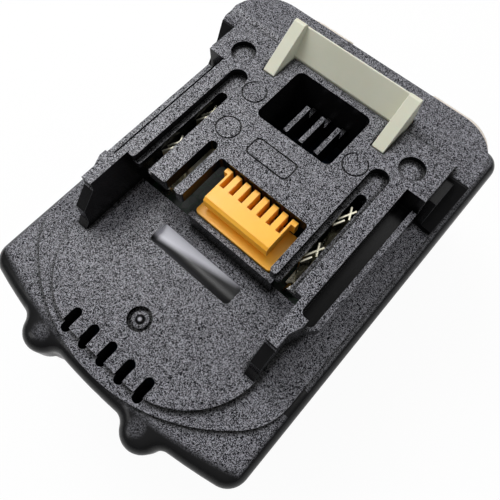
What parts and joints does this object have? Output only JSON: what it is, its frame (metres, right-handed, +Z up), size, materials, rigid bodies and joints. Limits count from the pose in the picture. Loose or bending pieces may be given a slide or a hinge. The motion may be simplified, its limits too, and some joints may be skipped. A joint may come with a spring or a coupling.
{
  "type": "power tool battery",
  "caption": "Slide-on rechargeable battery pack for cordless hand tools: side rails, slotted terminal deck, sprung latch with a thumb button, and cylindrical cells inside.",
  "frame": {"origin": "middle of the pack's underside", "axes": "+Z up to the slide deck, +Y towards the latch end, +X across the pack"},
  "size_m": [0.075, 0.1146, 0.0668],
  "materials": {
    "black_shell": "fine spark-eroded texture, satin",
    "panel_beige": "satin moulded",
    "latch_ivory": "smooth moulded acetal",
    "spring_steel": "drawn wire",
    "terminal_orange": "smooth moulded",
    "contact_nickel": "bright nickel plate",
    "contact_brass": "bright",
    "board_green": "solder mask",
    "chip_black": "moulded resin",
    "screw_steel": "black zinc",
    "holder_black": "plain moulded",
    "cell_wrap": "shrink wrap over a steel can",
    "strip_nickel": "rolled",
    "card_grey": "pressed card",
    "foam_black": "closed cell"
  },
  "bodies": {
    "case": {"lower_case": "black_shell", "top_cover": "black_shell", "front_panel": "panel_beige", "latch_springs": "spring_steel", "terminal_block": "terminal_orange", "signal_contacts": "contact_brass", "positive_contact": "contact_nickel", "negative_contact": "contact_nickel", "circuit_board": "board_green", "board_components": "chip_black", "board_screws": "screw_steel", "case_screws": "screw_steel", "cell_holder_left": "holder_black", "cell_holder_right": "holder_black", "nickel_strips_left": "strip_nickel", "nickel_strips_right": "strip_nickel", "negative_lead": "strip_nickel", "positive_lead": "strip_nickel", "insulating_card_left": "card_grey", "insulating_card_right": "card_grey", "foam_pad": "foam_black", "temperature_sensor": "chip_black", "cell_1": "cell_wrap", "cell_2": "cell_wrap", "cell_3": "cell_wrap", "cell_4": "cell_wrap", "cell_5": "cell_wrap", "cell_6": "cell_wrap", "cell_7": "cell_wrap", "cell_8": "cell_wrap", "cell_9": "cell_wrap", "cell_10": "cell_wrap"},
    "latch": {"latch": "latch_ivory"}
  },
  "joints": [
    {"name": "latch_slide", "type": "slide", "parent": "case", "child": "latch", "axis": [0, 0, -1], "range_m": [0, 0.0069], "stiffness_N_per_m": 1200, "springref_m": -0.002, "deforming": ["latch_springs"]}
  ]
}
